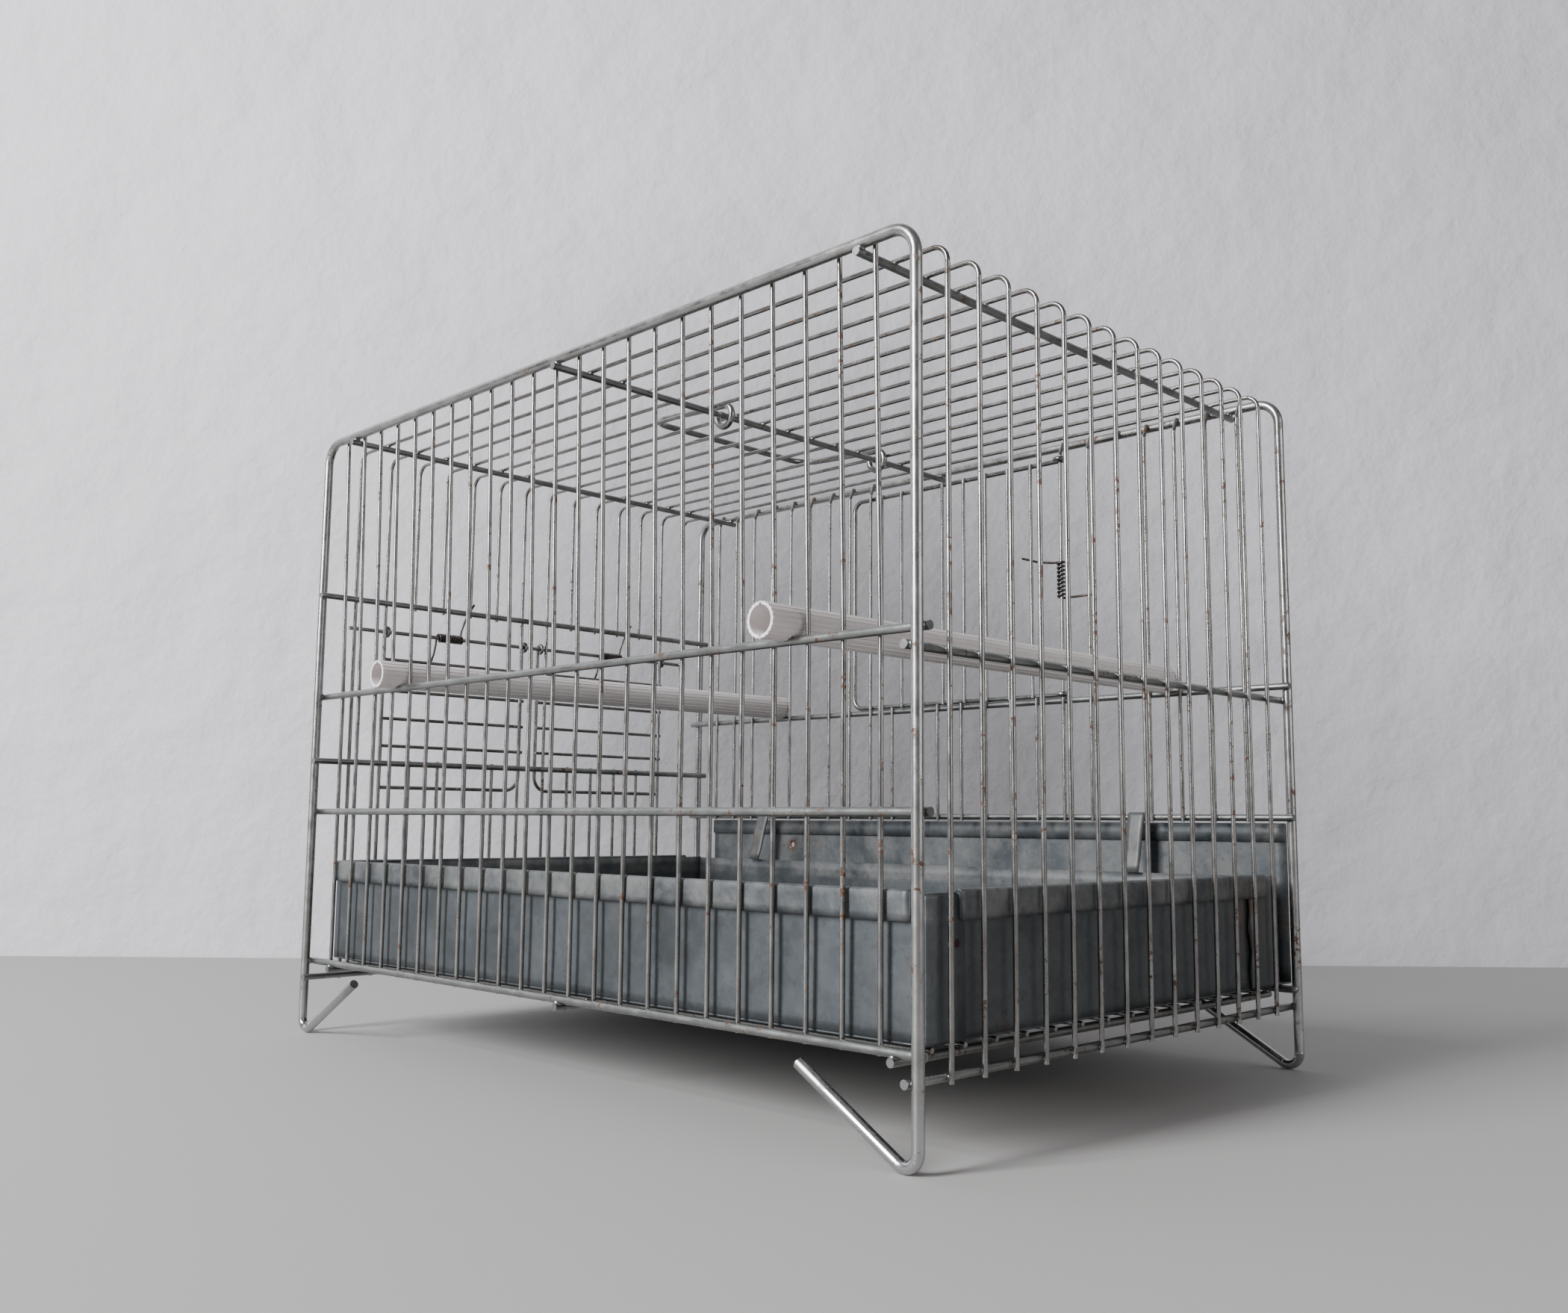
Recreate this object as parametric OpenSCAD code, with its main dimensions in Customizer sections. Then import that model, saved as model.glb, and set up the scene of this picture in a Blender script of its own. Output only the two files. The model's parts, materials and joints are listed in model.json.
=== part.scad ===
/* [Cage] */
// Width between the hoop legs, centre to centre
cage_w = 380; // [340:5:420]
// Length between the two hoops, centre to centre
cage_l = 250; // [246:1:260]
// Height of the hoop tops above the floor
cage_h = 287; // [280:1:320]
// Radius of the hoops' rounded corners
roof_r = 10; // [8:1:14]
// Radius of the thin wires' rounded corners
wire_roof_r = 6; // [4:1:10]

/* [Wire] */
// Diameter of the two thick hoops
hoop_d = 4; // [3.6:0.1:4.2]
// Diameter of the rails and rods
rod_d = 3; // [2.6:0.1:3.2]
// Diameter of the thin wires
thin_d = 1.8; // [1.6:0.1:2]
// Depth that two welded wires sink into each other
weld = 0.2; // [0.1:0.05:0.3]
// Length of a rail's end past the hoop
overhang = 2.5; // [2:0.5:6]

/* [Door and hatches] */
// Width of the door from its hinge to its free edge
door_w = 137.5; // [136:0.5:144]
// Diameter of the door frame's wire
door_d = 2.4; // [2:0.1:2.5]
// Gap between the two feeder hatches
hatch_gap = 10.8; // [8:0.2:11]
// Drop of a hatch below its hinge wire
hatch_h = 79.4; // [74:0.2:80]

/* [Tray] */
// Width of the tray pan without its hems
tray_w = 364; // [350:1:365]
// Height of the pan's rim above the floor
tray_top = 81; // [70:1:84]
// Thickness of the sheet
sheet = 0.8; // [0.6:0.1:1]

/* [Perches] */
// Diameter of a perch tube
perch_d = 12.5; // [10:0.5:12.5]
// Length of a perch tube
perch_len = 254; // [250:1:262]

/* [Hidden] */
$fn = 32;

// Layers of the welded wires, from the hoops inwards
half_w = cage_w / 2;
half_l = cage_l / 2;
rail_y = half_l - (hoop_d + rod_d) / 2 + weld;
wire_y = rail_y - (rod_d + thin_d) / 2 + weld;
side_x = half_w - (hoop_d + rod_d) / 2 + weld;
wire_x = side_x + (rod_d + thin_d) / 2 - weld;
roof_rod_z = cage_h - (hoop_d + rod_d) / 2 + weld;
roof_wire_z = roof_rod_z + (rod_d + thin_d) / 2 - weld;

// Heights of the rails
mid_z = 160.5;
lower_z = 104.5;
bottom_z = 33.2;
left_mid_z = 154.7;
side_bottom_z = 25.8;
right_upper_z = 210.7;
right_lower_z = 129.1;
floor_rod_z = bottom_z - rod_d + weld;
floor_wire_z = floor_rod_z + (rod_d + thin_d) / 2 - weld;

// Feet
foot_r = 5;
foot_angle = 30;
foot_len = 47;
knuckle = 1.03;
joint_gap = 0.15;

// Thin wires
roof_pitch = 16.6;
roof_count = 14;
back_pitch = 15.74;
back_shift = 2.3;
front_pitch = 15.47;
front_shift = -3;
face_count = 23;
opening_first = 7;
opening_last = 13;
roof_rod_x = [-167, -2.3, 162.9];
floor_rod_x = [-178, -10, 171];
bend_drop = 5.5;
end_out = 2;
floor_gap = 8.5;

// Hinges
eye_turn = 260;
handle_eye_turn = 280;
stop_turn = 230;
bar_out = 0.8;
door_play = 0.3;
hatch_play = 0.15;

// Door
hinge_index = 6;
hinge_x = front_x(hinge_index);
door_y = -wire_y - (thin_d + door_d) / 2 - door_play;
door_low_z = 163.4;
door_high_z = 279.5;
door_corner = 5.5;
door_bar_count = 8;
door_bar_pitch = 14;
door_bar_first = 18;
door_spring_z = 210.6;

// Hatches
hatch_hinge_d = 2;
hatch_d = 2;
hatch_hinge_x = wire_x + (thin_d + hatch_hinge_d) / 2 - weld;
hatch_hinge_z = 196.6;
hatch_x = hatch_hinge_x + (hatch_hinge_d + hatch_d) / 2 + hatch_play;
hatch_bar_x = hatch_x - (hatch_d + thin_d) / 2 + weld;
rear_hatch_y = 89.2;
front_hatch_y = -93.6;
hatch_corner = 8;
hatch_bar_drop = [14, 30, 44.3, 58.3];

// Springs
spring_d = 1.2;
closed_pitch = 1.42;
closed_turns = 10;
open_pitch = 1.98;
open_turns = 9;
rear_spring_y = 59.5;
front_spring_y = -48.5;
spring_play = 0.25;
door_leg_a = 271;
door_leg_b = 267.5;
hatch_leg_a = 3;
hatch_leg_b = 8;
door_legs = [[17, 0], [25, 5]];
hatch_legs = [[15, 3], [20, 6.5]];
coil_steps = 16;
wire_sides = 6;

// Handle
handle_d = 3;
handle_eye_r = 4.9;
handle_out = 52;
handle_y = [-72, 33];
handle_tilt = 3;
handle_corner = 10;

// Tray
rest_gap = 0.1;
tray_floor_z = bottom_z + rod_d / 2 + rest_gap;
tray_mid_x = -3;
tray_back_y = 116.3;
tray_front_y = -118;
plate_y = -129.7;
hem_h = 9.5;
hem_gap = 1.2;
hem_inset = 2.5;
hem_tab = 2;
left_hem_start = 16.5;
left_hem_end = 12;
front_top = 102.3;
front_hem = 8.5;
plate_gap = 0.3;
plate_rise = 0.2;
plate_hole = [112, 88.3];
plate_hole_d = 3;
end_clear = 1;
stop_play = 0.1;
stop_w = 8.5;
stop_x = [-118.5, 126.2];
stop_lean = 7.5;
stop_low_z = 78.8;

// Perches
perch_wall = 1.2;
flute_count = 20;
flute_d = 1.1;
key_w = 0.9;
key_depth = 0.6;
notch_d = rod_d + 0.3;
perch_sink = 1.7;
left_gap = 2;
right_gap = 18;
left_out = 9;
right_out = 7;
lift_play = 0.1;
perch_z = mid_z + rod_d / 2 + perch_d / 2 - perch_sink + lift_play;

// Places in a row of thin wires, counted from the left
function back_x(i) = back_shift + (i - (face_count - 1) / 2) * back_pitch;
function front_x(i) = front_shift + (i - (face_count - 1) / 2) * front_pitch;
function roof_y(i) = (i - (roof_count - 1) / 2) * roof_pitch;
function in_hatch(i) = abs(roof_y(i)) > roof_pitch && abs(roof_y(i)) < 5 * roof_pitch;

// Straight round wire from a to b
module wire(a, b, d) {
    v = b - a;
    translate(a)
        rotate([0, acos(v.z / norm(v)), atan2(v.y, v.x)])
            cylinder(d = d, h = norm(v));
}

// Helpers for a bent wire in the XY plane: p holds its corners and r their radii
function unit(v) = v / norm(v);
function turn(p, i) =
    let (u = unit(p[i] - p[i - 1]), v = unit(p[i + 1] - p[i]))
    atan2(u.x * v.y - u.y * v.x, u * v);
function cut_back(p, r, i) =
    i == 0 || i == len(p) - 1 ? 0 : r[i] * tan(abs(turn(p, i)) / 2);

// Bent wire through the points p, each corner i rounded to the radius r[i]
module bent_wire(p, r, d) {
    for (i = [0 : len(p) - 2]) {
        u = unit(p[i + 1] - p[i]);
        a = p[i] + u * cut_back(p, r, i);
        b = p[i + 1] - u * cut_back(p, r, i + 1);
        wire([a.x, a.y, 0], [b.x, b.y, 0], d);
    }
    for (i = [1 : len(p) - 2]) {
        u = unit(p[i] - p[i - 1]);
        v = unit(p[i + 1] - p[i]);
        side = turn(p, i) > 0 ? 1 : -1;
        a = p[i] - u * cut_back(p, r, i);
        b = p[i] + v * cut_back(p, r, i);
        centre = a + side * r[i] * [-u.y, u.x];
        start = side > 0 ? a - centre : b - centre;
        translate([centre.x, centre.y, 0])
            rotate([0, 0, atan2(start.y, start.x)])
                arc(r[i], d, abs(turn(p, i)));
    }
}

// Arc of wire round the Z axis, starting on +X
module arc(r, d, angle) {
    rotate_extrude(angle = angle)
        translate([r, 0])
            circle(d = d);
}

// Stand a drawing up in the XZ plane at the given y
module stand_at(y) {
    translate([0, y, 0])
        rotate([90, 0, 0])
            children();
}

// Stand a drawing up in the YZ plane at the given x
module stand_side(x) {
    translate([x, 0, 0])
        rotate([90, 0, 90])
            children();
}

// V foot at the end of a leg: a tight bend, a knuckle and a straight toe
module foot() {
    translate([half_w - foot_r, foot_r + hoop_d / 2, 0]) {
        translate([foot_r, 0, 0])
            sphere(d = hoop_d * knuckle);
        rotate([0, 0, -90 - foot_angle])
            arc(foot_r, hoop_d, 90 + foot_angle);
        rotate([0, 0, -90 - foot_angle])
            translate([foot_r, 0, 0]) {
                sphere(d = hoop_d * knuckle);
                rotate([90, 0, 0])
                    translate([0, 0, joint_gap])
                        cylinder(d = hoop_d, h = foot_len);
            }
    }
}

// One thick hoop: rounded top, two legs and two V feet
module hoop(y) {
    leg = [half_w, foot_r + hoop_d / 2 + joint_gap];
    stand_at(y) {
        bent_wire([leg, [half_w, cage_h], [-half_w, cage_h], [-leg.x, leg.y]], [0, roof_r, roof_r, 0], hoop_d);
        for (side = [0, 1])
            mirror([side, 0, 0])
                foot();
    }
}

module back_hoop() {
    color("lightslategray")
        hoop(half_l);
}

module front_hoop() {
    color("lightslategray")
        hoop(-half_l);
}

// Three rods under the hoop tops, from back to front
module roof_rods() {
    end_y = half_l + overhang;
    color("silver")
        for (x = roof_rod_x)
            wire([x, -end_y, roof_rod_z], [x, end_y, roof_rod_z], rod_d);
}

// Rails across one end of the cage
module end_rails(y) {
    for (z = [mid_z, lower_z, bottom_z]) {
        end_x = half_w + (z == bottom_z ? 0 : overhang);
        wire([-end_x, y, z], [end_x, y, z], rod_d);
    }
}

module back_rails() {
    color("silver")
        end_rails(rail_y);
}

module front_rails() {
    color("silver")
        end_rails(-rail_y);
}

// Rails along one side of the cage
module side_rails(x, heights) {
    end_y = half_l + overhang;
    for (z = heights)
        wire([x, -end_y, z], [x, end_y, z], rod_d);
}

module left_rails() {
    color("silver")
        side_rails(-side_x, [left_mid_z, side_bottom_z]);
}

module right_rails() {
    color("silver")
        side_rails(side_x, [right_upper_z, right_lower_z, side_bottom_z]);
}

// Thin wires over the roof and down both sides, cut away behind the two hatches
module hoop_wires() {
    low = side_bottom_z - end_out;
    color("gainsboro")
        for (i = [0 : roof_count - 1]) {
            right_end = in_hatch(i) ? right_upper_z - end_out : low;
            p = [[-wire_x, low], [-wire_x, roof_wire_z], [wire_x, roof_wire_z], [wire_x, right_end]];
            stand_at(roof_y(i))
                bent_wire(p, [0, wire_roof_r, wire_roof_r, 0], thin_d);
            if (in_hatch(i))
                wire([wire_x, roof_y(i), low], [wire_x, roof_y(i), right_lower_z + end_out], thin_d);
        }
}

// One thin upright, leaning out above bend_z to meet the hoop; side is 1 on the back and -1 on the front
module upright(x, side, low, bend_z) {
    top_y = half_l - (hoop_d + thin_d) / 2 + weld;
    low_end = [x, side * wire_y, bend_z];
    top_end = [x, side * top_y, cage_h + hoop_d / 4];
    wire([x, side * wire_y, low], low_end, thin_d);
    translate(low_end + joint_gap * unit(top_end - low_end))
        sphere(d = thin_d * knuckle);
    wire(low_end + 2 * joint_gap * unit(top_end - low_end), top_end, thin_d);
}

module back_wires() {
    color("gainsboro")
        for (i = [0 : face_count - 1])
            upright(back_x(i), 1, bottom_z - end_out, mid_z);
}

module front_wires() {
    low = lower_z - end_out;
    color("gainsboro")
        for (i = [0 : face_count - 1]) {
            x = front_x(i);
            if (i >= opening_first && i <= opening_last)
                wire([x, -wire_y, low], [x, -wire_y, mid_z + end_out], thin_d);
            else if (i != hinge_index)
                upright(x, -1, low, cage_h - bend_drop);
        }
}

module door_hinge_wire() {
    color("gainsboro")
        upright(hinge_x, -1, lower_z - end_out, cage_h - bend_drop);
}

module floor_rods() {
    end_y = half_l - rod_d / 2;
    color("silver")
        for (x = floor_rod_x)
            wire([x, -end_y, floor_rod_z], [x, end_y, floor_rod_z], rod_d);
}

module floor_wires() {
    end_x = half_w - floor_gap;
    color("gainsboro")
        for (i = [0 : roof_count - 1])
            wire([-end_x, roof_y(i), floor_wire_z], [end_x, roof_y(i), floor_wire_z], thin_d);
}

module hatch_hinge_wire() {
    end_y = roof_y(roof_count - 1) + end_out;
    at = [hatch_hinge_x, 0, hatch_hinge_z];
    color("silver")
        wire(at - [0, end_y, 0], at + [0, end_y, 0], hatch_hinge_d);
}

// Door frame: one bent wire whose two ends curl round the hinge wire
module door_frame() {
    free_x = hinge_x + door_w;
    eye_x = hinge_x + joint_gap;
    p = [[eye_x, door_high_z], [free_x, door_high_z], [free_x, door_low_z], [eye_x, door_low_z]];
    color("silver") {
        stand_at(door_y)
            bent_wire(p, [0, door_corner, door_corner, 0], door_d);
        for (z = [door_low_z, door_high_z]) {
            translate([hinge_x, door_y, z])
                sphere(d = door_d * knuckle);
            translate([hinge_x, -wire_y, z])
                rotate([0, 0, 270 - eye_turn])
                    arc(-door_y - wire_y, door_d, eye_turn);
        }
    }
}

module door_bars() {
    y = door_y + (door_d + thin_d) / 2 - weld;
    color("gainsboro")
        for (i = [0 : door_bar_count - 1]) {
            x = hinge_x + door_bar_first + i * door_bar_pitch;
            wire([x, y, door_low_z - bar_out], [x, y, door_high_z + bar_out], thin_d);
        }
}

// Hatch frame: a bent wire with one rounded corner and a straight outer leg, both
// curled round the hinge wire. The outer leg stands at y = outer.
module hatch_frame(outer) {
    inner = sign(outer) * hatch_gap / 2;
    low = hatch_hinge_z - hatch_h;
    joint = outer - sign(outer) * (hatch_d / 2 - weld);
    color("silver") {
        stand_side(hatch_x) {
            bent_wire([[inner, hatch_hinge_z], [inner, low], [joint, low]], [0, hatch_corner, 0], hatch_d);
            wire([outer, hatch_hinge_z, 0], [outer, low - bar_out, 0], hatch_d);
        }
        for (end = [inner, outer])
            translate([hatch_hinge_x, end, hatch_hinge_z])
                rotate([90, 0, 0])
                    arc(hatch_x - hatch_hinge_x, hatch_d, eye_turn);
    }
}

module hatch_bars(outer) {
    inner = sign(outer) * hatch_gap / 2;
    step = sign(outer) * bar_out;
    color("gainsboro")
        for (drop = hatch_bar_drop) {
            z = hatch_hinge_z - drop;
            wire([hatch_bar_x, inner - step, z], [hatch_bar_x, outer + step, z], thin_d);
        }
}

// Torsion spring round the Z axis: leg, coil from angle a to b, leg.
// Each of the two legs is [its length, its run along Z].
function coil_point(r, t, pitch) = [r * cos(t), r * sin(t), pitch * t / 360];
function leg_out(t) = [-sin(t), cos(t), 0];
function spring_path(r, a, b, pitch, legs) =
    let (count = round((b - a) * coil_steps / 360))
    concat(
        [coil_point(r, a, pitch) - legs[0].x * leg_out(a) - [0, 0, legs[0].y]],
        [for (k = [0 : count]) coil_point(r, a + (b - a) * k / count, pitch)],
        [coil_point(r, b, pitch) + legs[1].x * leg_out(b) + [0, 0, legs[1].y]]
    );

// Ring of points round the wire at step k of a path, level with the Z axis
function path_dir(p, k) = unit(p[min(k + 1, len(p) - 1)] - p[max(k - 1, 0)]);
function wire_ring(p, k, r) =
    let (t = path_dir(p, k), side = unit(cross(t, [0, 0, 1])), up = cross(side, t))
    [for (j = [0 : wire_sides - 1])
        p[k] + r * (cos(j * 360 / wire_sides) * side + sin(j * 360 / wire_sides) * up)];

module spring(r, a, b, pitch, legs) {
    p = spring_path(r, a, b, pitch, legs);
    n = wire_sides;
    last = len(p) - 1;
    points = [for (k = [0 : last]) each wire_ring(p, k, spring_d / 2)];
    faces = [
        [for (j = [0 : n - 1]) j],
        for (k = [0 : last - 1], j = [0 : n - 1])
            [k * n + j, (k + 1) * n + j, (k + 1) * n + (j + 1) % n, k * n + (j + 1) % n],
        [for (j = [n - 1 : -1 : 0]) last * n + j]
    ];
    polyhedron(points = points, faces = faces, convexity = 8);
}

module door_spring() {
    r = (thin_d + spring_d) / 2 + spring_play;
    color("darkgray")
        translate([hinge_x, -wire_y, door_spring_z - open_pitch * door_leg_a / 360])
            spring(r, door_leg_a, door_leg_b + 360 * open_turns, open_pitch, door_legs);
}

module hatch_spring(y) {
    r = (hatch_hinge_d + spring_d) / 2 + spring_play;
    color("darkgray")
        translate([hatch_hinge_x, y, hatch_hinge_z])
            rotate([90, 0, 0])
                spring(r, hatch_leg_a, hatch_leg_b + 360 * closed_turns, closed_pitch, hatch_legs);
}

module rear_hatch_frame() { hatch_frame(rear_hatch_y); }
module rear_hatch_bars() { hatch_bars(rear_hatch_y); }
module rear_hatch_spring() { hatch_spring(rear_spring_y); }
module front_hatch_frame() { hatch_frame(front_hatch_y); }
module front_hatch_bars() { hatch_bars(front_hatch_y); }
module front_hatch_spring() { hatch_spring(front_spring_y); }

// Carry handle: a bail with a ring eye at each end round the middle roof rod
module carry_handle() {
    a = handle_y[0];
    b = handle_y[1];
    p = [[0, a], [handle_out, a], [handle_out, b], [0, b]];
    color("silver")
        translate([roof_rod_x[1], 0, roof_rod_z])
            rotate([0, -handle_tilt, 0]) {
                translate([0, 0, handle_eye_r])
                    bent_wire(p, [0, handle_corner, handle_corner, 0], handle_d);
                for (y = handle_y)
                    stand_at(y)
                        rotate([0, 0, 90])
                            arc(handle_eye_r, handle_d, handle_eye_turn);
            }
}

// Folded rim along +X: the wall's outer face is at y = 0 and its top at z = 0
module hem(length) {
    fold_r = hem_gap / 2 + sheet;
    translate([0, -hem_gap / 2, -fold_r])
        rotate([0, 90, 0])
            difference() {
                cylinder(r = fold_r, h = length);
                translate([0, 0, -end_clear])
                    cylinder(r = hem_gap / 2, h = length + 2 * end_clear);
                translate([0, -2 * fold_r, -end_clear])
                    cube([2 * fold_r, 4 * fold_r, length + 2 * end_clear]);
            }
    translate([0, -hem_gap - sheet, -hem_h])
        cube([length, sheet, hem_h - fold_r]);
}

// Open sheet pan with folded rims at the back and on both sides; its floor runs on to the plate
module tray_pan() {
    half = tray_w / 2;
    depth = tray_back_y - tray_front_y;
    wall_top = tray_top - hem_gap / 2 - sheet;
    color("lightgray")
        translate([tray_mid_x, 0, 0]) {
            difference() {
                translate([-half, tray_front_y, tray_floor_z])
                    cube([tray_w, depth, wall_top - tray_floor_z]);
                translate([-half + sheet, tray_front_y + sheet, tray_floor_z + sheet])
                    cube([tray_w - 2 * sheet, depth - 2 * sheet, wall_top]);
            }
            translate([-half, plate_y, tray_floor_z])
                cube([tray_w, tray_front_y - plate_y, sheet]);
            translate([half - hem_inset, tray_back_y, tray_top])
                rotate([0, 0, 180])
                    hem(tray_w - 2 * hem_inset - hem_tab);
            translate([-half, tray_back_y - left_hem_start, tray_top])
                rotate([0, 0, -90])
                    hem(depth - left_hem_start - left_hem_end);
            translate([half, tray_front_y, tray_top])
                rotate([0, 0, 90])
                    hem(depth - hem_inset);
        }
}

// Front plate of the tray, hemmed along its top on the inside
module tray_front() {
    low = tray_floor_z + plate_rise;
    left = tray_mid_x - tray_w / 2;
    color("lightgray") {
        translate([left, plate_y - sheet, low])
            difference() {
                cube([tray_w, sheet, front_top - low]);
                translate([plate_hole.x - left, -end_clear, plate_hole.y - low])
                    rotate([-90, 0, 0])
                        cylinder(d = plate_hole_d, h = sheet + 2 * end_clear);
            }
        translate([left, plate_y, front_top - front_hem])
            cube([tray_w, sheet + plate_gap, front_hem]);
    }
}

// Sheet tongue curled over the lower front rail, its tail leaning into the pan
module tray_stop(x) {
    r = rod_d / 2 + stop_play;
    color("darkgray")
        translate([x - stop_w / 2, -rail_y, lower_z])
            rotate([90, 0, 90])
                rotate([0, 0, stop_lean]) {
                    rotate_extrude(angle = stop_turn)
                        translate([r, 0])
                            square([sheet, stop_w]);
                    translate([r, stop_low_z - lower_z, 0])
                        cube([sheet, lower_z - stop_low_z, stop_w]);
                }
}

module left_tray_stop() { tray_stop(stop_x[0]); }
module right_tray_stop() { tray_stop(stop_x[1]); }

// Fluted tube through one gap of the back wires and one of the front wires; it sticks
// out past the back hoop by out and its other end rests on the front rail
module perch(gap, out) {
    back_centre = back_x(gap) + back_pitch / 2;
    front_centre = front_x(gap) + front_pitch / 2;
    cut = perch_len + 2 * end_clear;
    bore = perch_d - 2 * perch_wall;
    shift = half_l + out - perch_len / 2;
    color("linen")
        translate([(back_centre + front_centre) / 2, 0, perch_z])
            rotate([0, 0, atan2(front_centre - back_centre, 2 * wire_y)])
                rotate([90, 0, 0])
                    difference() {
                        translate([0, 0, -shift])
                            cylinder(d = perch_d, h = perch_len, center = true);
                        translate([0, 0, -shift]) {
                            cylinder(d = bore, h = cut, center = true);
                            cube([key_w, bore + 2 * key_depth, cut], center = true);
                            for (k = [0 : flute_count - 1])
                                rotate([0, 0, (k + 0.5) * 360 / flute_count])
                                    translate([perch_d / 2 + flute_d / 4, 0, 0])
                                        cylinder(d = flute_d, h = cut, center = true);
                        }
                        for (end = [-1, 1])
                            translate([0, -(perch_d - perch_sink), end * rail_y])
                                cube([perch_d * 2, perch_d, notch_d], center = true);
                    }
}

module left_perch() { perch(left_gap, left_out); }
module right_perch() { perch(right_gap, right_out); }

back_hoop();
front_hoop();
roof_rods();
back_rails();
front_rails();
left_rails();
right_rails();
hoop_wires();
back_wires();
front_wires();
floor_rods();
floor_wires();
hatch_hinge_wire();
door_hinge_wire();
door_frame();
door_bars();
door_spring();
rear_hatch_frame();
rear_hatch_bars();
rear_hatch_spring();
front_hatch_frame();
front_hatch_bars();
front_hatch_spring();
carry_handle();
tray_pan();
tray_front();
left_tray_stop();
right_tray_stop();
left_perch();
right_perch();
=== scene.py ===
"""Looks for the small wire cage: materials, weld beads, sheet metal, springs, light and camera."""
import bpy, bmesh, json, math, random
from mathutils import Vector, Matrix, noise
from mathutils.bvhtree import BVHTree
from mathutils.geometry import intersect_ray_tri


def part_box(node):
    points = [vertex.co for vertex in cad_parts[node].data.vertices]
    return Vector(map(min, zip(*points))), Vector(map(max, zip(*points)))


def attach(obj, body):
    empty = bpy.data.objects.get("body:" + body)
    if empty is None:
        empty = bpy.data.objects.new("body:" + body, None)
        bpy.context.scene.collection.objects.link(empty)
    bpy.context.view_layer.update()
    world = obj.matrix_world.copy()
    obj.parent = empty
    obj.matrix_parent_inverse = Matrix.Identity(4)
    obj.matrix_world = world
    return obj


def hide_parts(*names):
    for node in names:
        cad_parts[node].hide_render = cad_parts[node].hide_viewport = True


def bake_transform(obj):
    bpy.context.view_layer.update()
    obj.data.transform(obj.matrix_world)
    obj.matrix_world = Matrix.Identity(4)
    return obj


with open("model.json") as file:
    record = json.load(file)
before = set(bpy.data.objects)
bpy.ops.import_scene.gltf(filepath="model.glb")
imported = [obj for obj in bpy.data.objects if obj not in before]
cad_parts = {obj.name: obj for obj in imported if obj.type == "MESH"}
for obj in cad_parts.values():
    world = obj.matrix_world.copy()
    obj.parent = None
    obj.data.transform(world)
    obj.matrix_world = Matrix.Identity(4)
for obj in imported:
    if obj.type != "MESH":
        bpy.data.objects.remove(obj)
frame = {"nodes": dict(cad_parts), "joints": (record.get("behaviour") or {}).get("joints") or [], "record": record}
NODES = frame["nodes"]
BODIES = frame["record"]["behaviour"]["bodies"]
SLOTS = {part["node"]: part["material_slot"] for part in frame["record"]["subparts"]}
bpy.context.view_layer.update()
MM = 0.001


# ---------------------------------------------------------------- materials

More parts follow.
